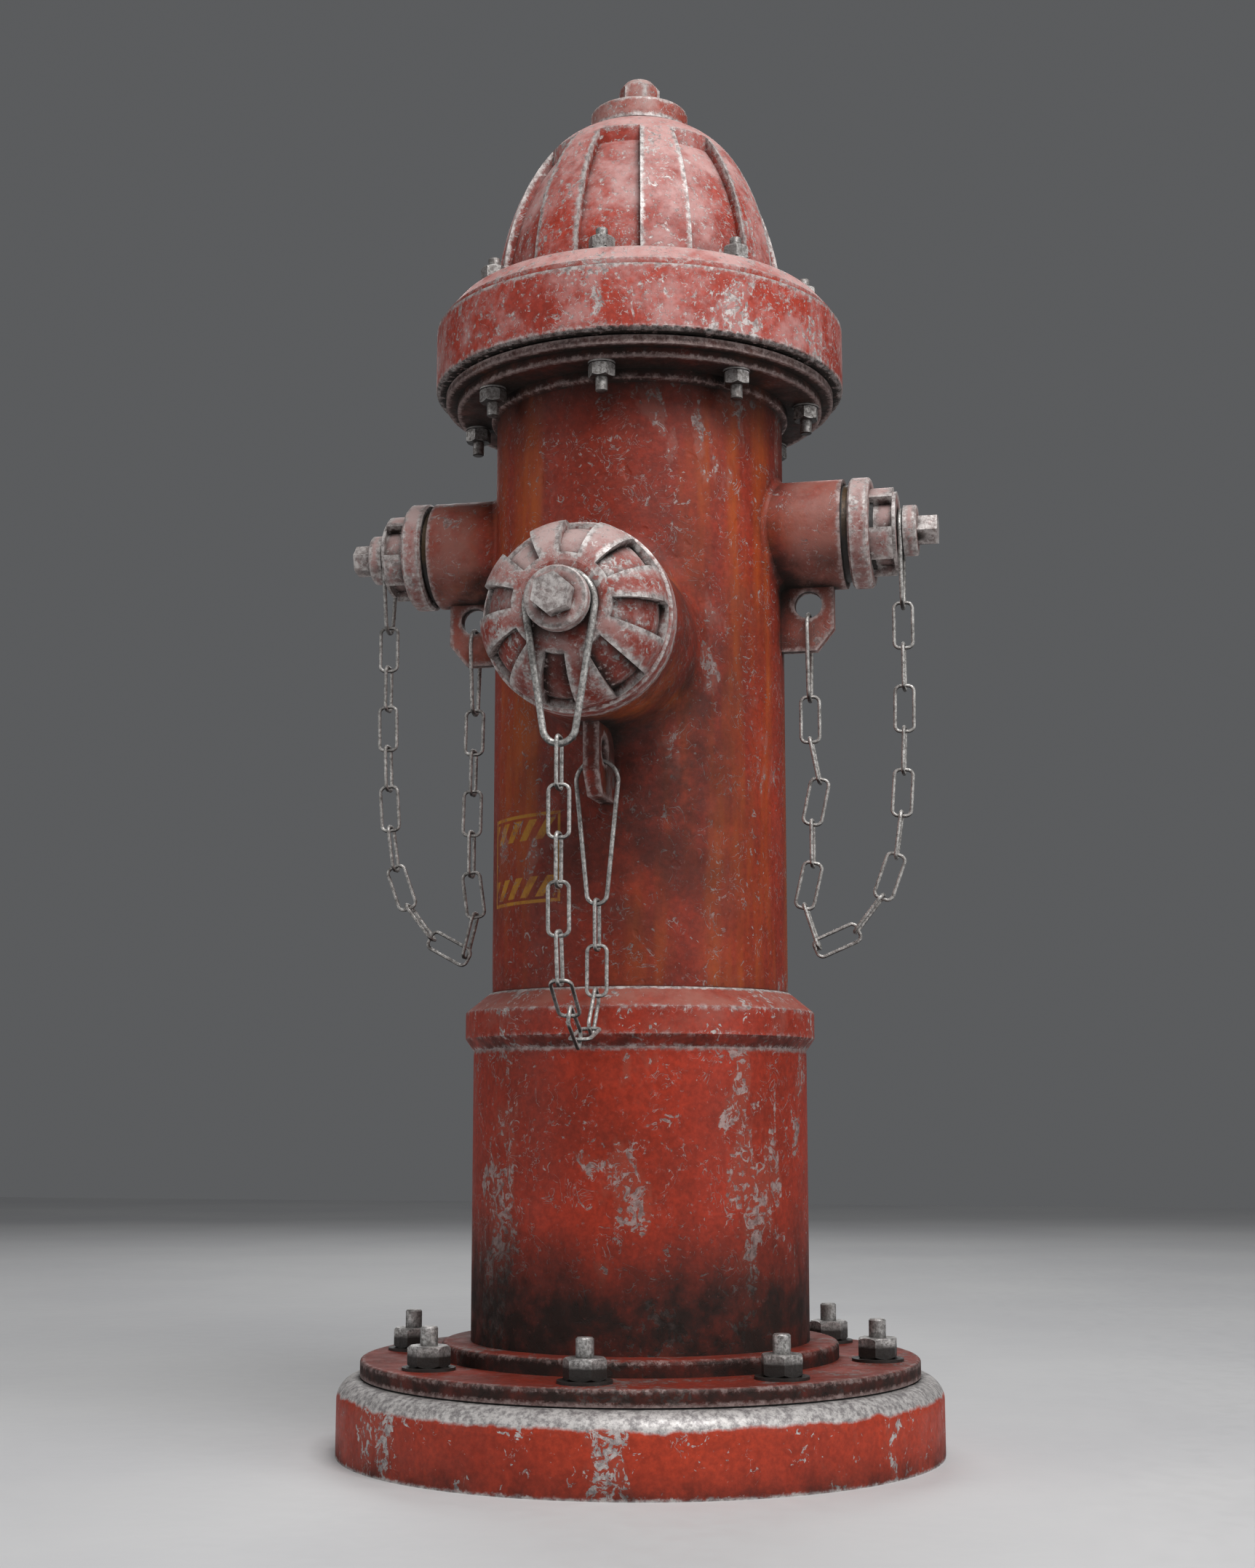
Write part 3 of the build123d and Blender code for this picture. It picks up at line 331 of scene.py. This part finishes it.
def enamel(name, red, deep, faded_and_lit, bleach_and_highlight, scratches, flakes, smears, edge, edge_reach, shade_and_soot, grain,
           size=1.0, bare_light=(0.62, 0.58, 0.56), bare_dark=(0.24, 0.2, 0.19), shade_and_soot_reach=0.03,
           underside=0.6, dark_bands=(), worn_above=None, streaks=0.0, dusty_past=None, stripes=None,
           painted_shade_spot=None, raised=0.0, bare_past=None):
    """Red enamel on cast iron, weathered as far as these values say, with a painted highlight on
    the faces that look up and painted shade in corners and underneath.
    """
    material, tree, shader, place = new_material(name)
    shade_and_soot_black = (0.012, 0.009, 0.007)
    rust_orange = (0.40, 0.078, 0.009)
    stripe_ochre = (0.50, 0.22, 0.02)
    gloss = 0.32
    bare_metal = 0.35
    chip_depth = 0.8
    bump_strength = 0.55
    bump_height = 0.0005

    mottle = step(tree, noise(tree, place, scale=13.0, detail=6.0, roughness=0.62), 0.3, 0.7)
    speck = step(
        tree, noise(tree, place, scale=260.0, detail=3.0, roughness=0.7), 0.3, 0.75,
        start=0.72, end=1.12,
    )
    colour = vector_calc(tree, "SCALE", tint(tree, mottle, deep, red), "Scale", speck, "Vector")
    if streaks:
        colour = tint(
            tree, apply_group(tree, weeping, "Streaks", Amount=streaks), colour, rust_orange
        )

    faded_and_lit_share = apply_group(tree, fade_and_highlight, "Faded and lit", Amount=bleach_and_highlight)
    if raised:
        proud = apply_group(tree, rubbing, "Bare", Reach=0.011, Amount=raised)
        faded_and_lit_share = calc(tree, "MAXIMUM", faded_and_lit_share, calc(tree, "MULTIPLY", proud, 0.8))
    if dusty_past:
        sideways = calc(tree, "ABSOLUTE", axis_of(tree, place, "X"))
        dust_fade = 0.02
        sideways = step(tree, sideways, dusty_past, dusty_past + dust_fade, start=0.0, end=0.65)
        clump = step(
            tree, noise(tree, place, scale=50.0, detail=5.0, roughness=0.7), 0.3, 0.6,
            start=0.4, end=1.0,
        )
        faded_and_lit_share = calc(tree, "MAXIMUM", faded_and_lit_share, calc(tree, "MULTIPLY", sideways, clump))
    colour = tint(tree, faded_and_lit_share, colour, faded_and_lit)
    if stripes:
        colour = tint(tree, apply_group(tree, stripes, "Paint"), colour, stripe_ochre)

    chips = dict(Scratches=scratches, Flakes=flakes, Smears=smears, Size=size)
    colour = tint(tree, apply_group(tree, flaking, "Scuffed", **chips), colour, faded_and_lit)
    bare = apply_group(tree, flaking, "Bare", **chips)
    if worn_above:
        worn_fade = 0.002
        worn = apply_group(
            tree, height_band, "Grime", Full=worn_above, Clear=worn_above - worn_fade, Waver=0.012
        )
        patchy = step(tree, noise(tree, place, scale=90.0, detail=6.0, roughness=0.72), 0.12, 0.22)
        bare = calc(tree, "MAXIMUM", bare, calc(tree, "MULTIPLY", worn, patchy))
    rubbed = apply_group(tree, rubbing, "Bare", Reach=edge_reach, Amount=edge)
    bare = calc(tree, "MAXIMUM", bare, rubbed)
    if bare_past:
        outward = vector_calc(tree, "LENGTH", stretched(tree, place, 1.0, 0.0), None, None, "Value")
        bare_fade = 0.001
        handled = step(tree, outward, bare_past, bare_past + bare_fade, start=0.0, end=0.95)
        clump = step(
            tree, noise(tree, place, scale=150.0, detail=5.0, roughness=0.7), 0.3, 0.46,
            start=0.6, end=1.0,
        )
        bare = calc(tree, "MAXIMUM", bare, calc(tree, "MULTIPLY", handled, clump))
    tarnish = step(tree, noise(tree, place, scale=240.0, detail=5.0, roughness=0.75), 0.36, 0.62)
    colour = tint(tree, bare, colour, tint(tree, tarnish, bare_dark, bare_light))

    # Painted shade with dirt: corners and undersides darkened, together with the dark bands and the
    # painted shade spot below.
    shade_and_dirt = apply_group(tree, shade_and_grime, "Grime", Reach=shade_and_soot_reach, Amount=shade_and_soot, Underside=underside)
    for full, clear, waver, amount in dark_bands:
        dark_band = apply_group(tree, height_band, "Grime", Full=full, Clear=clear, Waver=waver, Tops=0.5)
        patchy = step(
            tree, noise(tree, place, scale=38.0, detail=6.0, roughness=0.7), 0.2, 0.6,
            start=0.6, end=1.0,
        )
        dark_band = calc(tree, "MULTIPLY", calc(tree, "MULTIPLY", dark_band, patchy), amount)
        shade_and_dirt = calc(tree, "MAXIMUM", shade_and_dirt, dark_band)
    # A dark patch of painted shade around and below the pumper neck.
    if painted_shade_spot:
        x, y, z, reach = painted_shade_spot
        spread = 0.55
        spot = (x, y, z * spread)
        far = vector_calc(tree, "DISTANCE", stretched(tree, place, 1.0, spread), 1, spot, "Value")
        core = 0.25
        near = step(tree, far, reach * core, reach, start=0.7, end=0.0)
        shade_breakup = step(
            tree, noise(tree, place, scale=30.0, detail=6.0, roughness=0.68), 0.3, 0.62,
            start=0.35, end=1.1,
        )
        shade_and_dirt = calc(tree, "MAXIMUM", shade_and_dirt, calc(tree, "MULTIPLY", near, shade_breakup))
    shade_and_dirt = calc(tree, "MULTIPLY", shade_and_dirt, step(tree, rubbed, 0.0, 1.0, start=1.0, end=0.25))
    join(tree, tint(tree, shade_and_dirt, colour, shade_and_soot_black), shader.inputs["Base Color"])

    rough = step(
        tree, noise(tree, place, scale=75.0, detail=5.0, roughness=0.7), 0.3, 0.7,
        start=0.42, end=0.62,
    )
    rough = calc(tree, "ADD", rough, calc(tree, "MULTIPLY", shade_and_dirt, 0.25))
    join(tree, rough, shader.inputs["Roughness"])
    join(tree, calc(tree, "MULTIPLY", bare, bare_metal), shader.inputs["Metallic"])
    shader.inputs["Specular IOR Level"].default_value = gloss
    height = apply_group(tree, cast_skin, "Height", Grain=grain)
    height = calc(tree, "SUBTRACT", height, calc(tree, "MULTIPLY", bare, chip_depth))
    bump = tree.nodes.new("ShaderNodeBump")
    bump.inputs["Strength"].default_value = bump_strength
    bump.inputs["Distance"].default_value = bump_height
    join(tree, height, bump.inputs["Height"])
    join(tree, bump.outputs["Normal"], shader.inputs["Normal"])
    return material


def dress(material, *names):
    """Give CAD nodes a material."""
    for name in names:
        piece = nodes[name]
        piece.data.materials.clear()
        piece.data.materials.append(material)


base_enamel = enamel(
    "base_enamel", red=(0.50, 0.050, 0.018), deep=(0.36, 0.034, 0.013), faded_and_lit=(0.36, 0.09, 0.06),
    bleach_and_highlight=0.2, scratches=0.3, flakes=0.6, smears=1.0, size=0.8, edge=0.6, edge_reach=0.003,
    shade_and_soot=1.0, grain=0.8, worn_above=0.0405,
    bare_light=(0.66, 0.63, 0.61), bare_dark=(0.26, 0.24, 0.24),
)
dress(base_enamel, "base_ring")

# ---------------------------------------------------------------- lower barrel and belt
# A cast standpipe with a flange and a raised hub at its foot, where the rain splashes soil up,
# and a turned belt ring over the joint above it, where dust settles on the slope.
lower_enamel = enamel(
    "lower_enamel", red=(0.42, 0.036, 0.013), deep=(0.25, 0.024, 0.009), faded_and_lit=(0.30, 0.085, 0.055),
    bleach_and_highlight=0.12, scratches=0.6, flakes=0.58, smears=1.0, size=0.8, edge=0.8, edge_reach=0.0035,
    shade_and_soot=0.9, grain=0.6, dark_bands=[(0.102, 0.158, 0.08, 0.97), (0.0475, 0.0480, 0.001, 0.8)],
    bare_light=(0.44, 0.33, 0.31), bare_dark=(0.20, 0.13, 0.12),
)
dress(lower_enamel, "lower_barrel")
belt_enamel = enamel(
    "belt_enamel", red=(0.42, 0.040, 0.017), deep=(0.27, 0.028, 0.013), faded_and_lit=(0.34, 0.13, 0.10),
    bleach_and_highlight=0.55, scratches=0.4, flakes=0.7, smears=1.05, edge=0.75, edge_reach=0.004,
    shade_and_soot=1.0, grain=0.7,
)
dress(belt_enamel, "belt_ring")

# ---------------------------------------------------------------- upper barrel
# The nozzle section: one casting with the outlet necks, the chain lugs and the top flange.
# Rust has run down it from the bonnet joint, and the shade under the rim is painted on as a dark
# band.

# A painted panel on the side: a border and two bands of diagonal stripes, much faded.
stripes, place, _, made = shader_group("stripes", {}, ["Paint"])
panel_angles = math.radians(18), math.radians(62)
panel_heights = 0.352, 0.414
side_share = 1.35
border_start, border_end = 0.02, 0.055
bands_start, bands_end = 0.085, 0.30
stripes_across, stripes_upward = 5.0, 3.2
stripe_start, stripe_full = 0.22, 0.28
paint_edge = 0.01
turn = calc(
    stripes, "ARCTAN2",
    calc(stripes, "MULTIPLY", axis_of(stripes, place, "X"), -1.0),
    calc(stripes, "MULTIPLY", axis_of(stripes, place, "Y"), -1.0),
)
across = step(stripes, turn, *panel_angles, smooth=False)
upward = step(stripes, axis_of(stripes, place, "Z"), *panel_heights, smooth=False)
off_middle = calc(stripes, "ABSOLUTE", calc(stripes, "SUBTRACT", across, 0.5))
from_side = calc(stripes, "SUBTRACT", 0.5, off_middle)
off_middle = calc(stripes, "ABSOLUTE", calc(stripes, "SUBTRACT", upward, 0.5))
from_end = calc(stripes, "SUBTRACT", 0.5, off_middle)
nearest = calc(stripes, "MINIMUM", calc(stripes, "MULTIPLY", from_side, side_share), from_end)
border = step(stripes, nearest, border_start, border_start + paint_edge)
inner = step(stripes, nearest, border_end, border_end + paint_edge, start=1.0, end=0.0)
border = calc(stripes, "MULTIPLY", border, inner)
slant_across = calc(stripes, "MULTIPLY", across, stripes_across)
slant_upward = calc(stripes, "MULTIPLY", upward, stripes_upward)
slant = calc(stripes, "ADD", slant_across, slant_upward)
slanted = step(stripes, calc(stripes, "PINGPONG", slant, 0.5), stripe_start, stripe_full)
bands = step(stripes, from_end, bands_end, bands_end + paint_edge, start=1.0, end=0.0)
inside = step(stripes, nearest, bands_start, bands_start + paint_edge)
bands = calc(stripes, "MULTIPLY", bands, inside)
paint = calc(stripes, "MAXIMUM", border, calc(stripes, "MULTIPLY", slanted, bands))
worn = step(
    stripes, noise(stripes, place, scale=90.0, detail=5.0, roughness=0.7), 0.36, 0.52,
    start=0.45, end=1.0,
)
join(stripes, calc(stripes, "MULTIPLY", paint, worn), made["Paint"])

# The band from 0.704 down to 0.655 is the painted shadow of the bonnet rim, and the spot by the
# pumper neck is painted shade.
upper_enamel = enamel(
    "upper_enamel", red=(0.34, 0.034, 0.014), deep=(0.20, 0.022, 0.010), faded_and_lit=(0.34, 0.16, 0.13),
    bleach_and_highlight=0.22, scratches=0.65, flakes=0.62, smears=0.7, size=0.9, edge=0.8, edge_reach=0.004,
    shade_and_soot=1.3, underside=0.4, grain=1.5, streaks=0.7, dusty_past=0.098, stripes=stripes,
    painted_shade_spot=(0.02, -0.11, 0.46, 0.125), dark_bands=[(0.704, 0.655, 0.03, 0.96)],
    bare_light=(0.46, 0.36, 0.34), bare_dark=(0.20, 0.13, 0.12),
)
dress(upper_enamel, "upper_barrel")

# ---------------------------------------------------------------- bonnet
# A cast dome with a heavy rim and eight sunk panels, bolted down on the nozzle section. Its enamel
# is bleached pink on top, with a painted highlight there too, rubbed bare along the ribs, and
# darkened by painted shade underneath.
bonnet_enamel = enamel(
    "bonnet_enamel", red=(0.42, 0.046, 0.024), deep=(0.30, 0.034, 0.020), faded_and_lit=(0.56, 0.33, 0.31),
    bleach_and_highlight=0.78, scratches=0.7, flakes=0.55, smears=0.7, edge=0.95, edge_reach=0.004,
    shade_and_soot=0.95, underside=0.95, grain=0.6, dark_bands=[(0.7172, 0.7185, 0.001, 0.97)],
)
dress(bonnet_enamel, "bonnet")

# ---------------------------------------------------------------- crown
# The hold-down nut screwed into the dome and the operating nut that turns in it, both cast and
# painted with the dome, and handled more than the rest.
# Their upward faces are lightened by bleaching with a painted highlight, as on the dome.
crown_enamel = enamel(
    "crown_enamel", red=(0.38, 0.075, 0.05), deep=(0.28, 0.06, 0.042), faded_and_lit=(0.44, 0.29, 0.265),
    bleach_and_highlight=1.0, scratches=0.7, flakes=0.8, smears=0.9, edge=0.9, edge_reach=0.004,
    shade_and_soot=0.9, grain=0.5,
)
dress(crown_enamel, "hold_down_nut", "operating_nut")

# ---------------------------------------------------------------- caps
# Cast screw caps on the three outlets, rubbed and dusty, with soot and painted shade darkening the
# hollows between their ribs.
# The spanner has left the hexagon on each one bare.
hose_nut_start = 0.1941
pumper_nut_start = 0.2379
for name, caps, nut_start in (
    ("hose_cap_enamel", ("right_cap", "left_cap"), hose_nut_start),
    ("pumper_cap_enamel", ("pumper_cap",), pumper_nut_start),
):
    cap_enamel = enamel(
        name, red=(0.34, 0.040, 0.022), deep=(0.20, 0.030, 0.018), faded_and_lit=(0.50, 0.36, 0.34),
        bleach_and_highlight=0.85, scratches=0.7, flakes=0.75, smears=0.9, edge=0.95, edge_reach=0.0045,
        shade_and_soot=1.1, shade_and_soot_reach=0.011, underside=0.35, grain=0.8, raised=0.75, bare_past=nut_start,
    )
    dress(cap_enamel, *caps)

# ---------------------------------------------------------------- nuts, studs and washers
# Zinc-plated steel gone dull and speckled, with black grime and painted shade in the threads and
# corners. They hold the two bolted joints, at the foot and under the bonnet.


def bare_finish(name, light, dark, shade_and_soot, shade_and_soot_reach, shine, metal=0.75, dark_band=None, grain=0.35):
    """An unpainted surface: speckled light and dark, rubbed on its edges, with lodged grime and
    painted shade in its corners.
    """
    material, tree, shader, place = new_material(name)
    shade_and_oil_black = (0.014, 0.010, 0.008)
    polish = 1.12
    polished = [min(1.0, polish * share) for share in light]
    dull_by = 0.2
    bump_strength = 0.4
    bump_height = 0.0002
    speckle = step(tree, noise(tree, place, scale=420.0, detail=5.0, roughness=0.78), 0.36, 0.64)
    cloud = step(
        tree, noise(tree, place, scale=90.0, detail=4.0, roughness=0.6), 0.3, 0.7,
        start=0.35, end=1.0,
    )
    colour = tint(tree, calc(tree, "MULTIPLY", speckle, cloud), dark, light)
    rubbed = apply_group(tree, rubbing, "Bare", Reach=0.0015, Amount=0.55)
    colour = tint(tree, calc(tree, "MULTIPLY", rubbed, 0.6), colour, polished)
    # Painted shade with grime in the corners and threads.
    shade_and_dirt = apply_group(tree, shade_and_grime, "Grime", Reach=shade_and_soot_reach, Amount=shade_and_soot)
    if dark_band:
        full, clear = dark_band
        band = apply_group(tree, height_band, "Grime", Full=full, Clear=clear, Waver=0.004)
        shade_and_dirt = calc(tree, "MAXIMUM", shade_and_dirt, calc(tree, "MULTIPLY", band, 0.98))
    join(tree, tint(tree, shade_and_dirt, colour, shade_and_oil_black), shader.inputs["Base Color"])
    join(
        tree, step(tree, speckle, 0.0, 1.0, start=shine + dull_by, end=shine),
        shader.inputs["Roughness"],
    )
    join(tree, step(tree, shade_and_dirt, 0.0, 1.0, start=metal, end=0.0), shader.inputs["Metallic"])
    bump = tree.nodes.new("ShaderNodeBump")
    bump.inputs["Strength"].default_value = bump_strength
    bump.inputs["Distance"].default_value = bump_height
    height = apply_group(tree, cast_skin, "Height", Grain=grain)
    join(tree, calc(tree, "ADD", height, speckle), bump.inputs["Height"])
    join(tree, bump.outputs["Normal"], shader.inputs["Normal"])
    return material


base_steel = bare_finish(
    "base_steel", light=(0.78, 0.76, 0.74), dark=(0.20, 0.19, 0.18),
    shade_and_soot=1.0, shade_and_soot_reach=0.009, shine=0.38, dark_band=(0.069, 0.0725),
)
dress(base_steel, "base_studs", "base_washers", "base_nuts")
bonnet_steel = bare_finish(
    "bonnet_steel", light=(0.62, 0.60, 0.58), dark=(0.17, 0.15, 0.14),
    shade_and_soot=0.8, shade_and_soot_reach=0.010, shine=0.38,
)
dress(bonnet_steel, "bonnet_studs", "bonnet_washers", "bonnet_nuts")

# ---------------------------------------------------------------- chains
# Welded links of galvanised wire, gone matt and speckled. A wire loop hangs each chain from the
# groove in its cap, and another from the hole in its lug.
chain_steel = bare_finish(
    "chain_steel", light=(0.72, 0.70, 0.67), dark=(0.20, 0.19, 0.18),
    shade_and_soot=0.5, shade_and_soot_reach=0.004, shine=0.45, grain=0.2,
)
chain_pieces = ("cap_loop", "cap_chain", "lug_loop", "lug_chain")
for side in ("right", "left", "pumper"):
    dress(chain_steel, *[f"{side}_{piece}" for piece in chain_pieces])

# ---------------------------------------------------------------- nozzles, seat and washers
# Turned bronze, screwed into the iron: only the nozzles' faces show, as a dark line behind the
# caps. The washers take the push of the operating nut.
bronze = bare_finish(
    "bronze", light=(0.34, 0.20, 0.085), dark=(0.16, 0.09, 0.04),
    shade_and_soot=1.3, shade_and_soot_reach=0.02, shine=0.35, grain=0.15,
)
dress(bronze, "right_nozzle", "left_nozzle", "pumper_nozzle", "seat_ring", "thrust_washers")

# ---------------------------------------------------------------- stem and valve
# A steel stem in two lengths, pinned together by a sleeve at the belt, and a rubber valve held
# between two iron plates by a nut. They are out of sight once the hydrant is put together.
inner_steel = bare_finish(
    "inner_steel", light=(0.50, 0.48, 0.45), dark=(0.28, 0.26, 0.24),
    shade_and_soot=0.6, shade_and_soot_reach=0.01, shine=0.3, grain=0.15,
)
dress(inner_steel, "upper_stem", "lower_stem", "stem_coupling", "coupling_pins", "valve_nut")
iron = bare_finish(
    "iron", light=(0.16, 0.14, 0.13), dark=(0.07, 0.06, 0.055),
    shade_and_soot=0.6, shade_and_soot_reach=0.01, shine=0.55, metal=0.4, grain=0.8,
)
dress(iron, "upper_valve_plate", "lower_valve_plate")

# ---------------------------------------------------------------- valve rubber, rings and gaskets
# Moulded black rubber: rings and flat gaskets squeezed in the joints and behind the caps, and
# the thick disc of the main valve, clamped between its two plates at the foot of the stem.
rubber = bare_finish(
    "rubber", light=(0.035, 0.034, 0.033), dark=(0.018, 0.017, 0.017),
    shade_and_soot=0.3, shade_and_soot_reach=0.01, shine=0.6, metal=0.0, grain=0.2,
)
dress(
    rubber, "base_gasket", "barrel_gasket", "bonnet_gasket", "nozzle_gaskets", "nut_seal_ring",
    "seat_seal_ring", "main_valve", "right_cap_gasket", "left_cap_gasket", "pumper_cap_gasket",
)
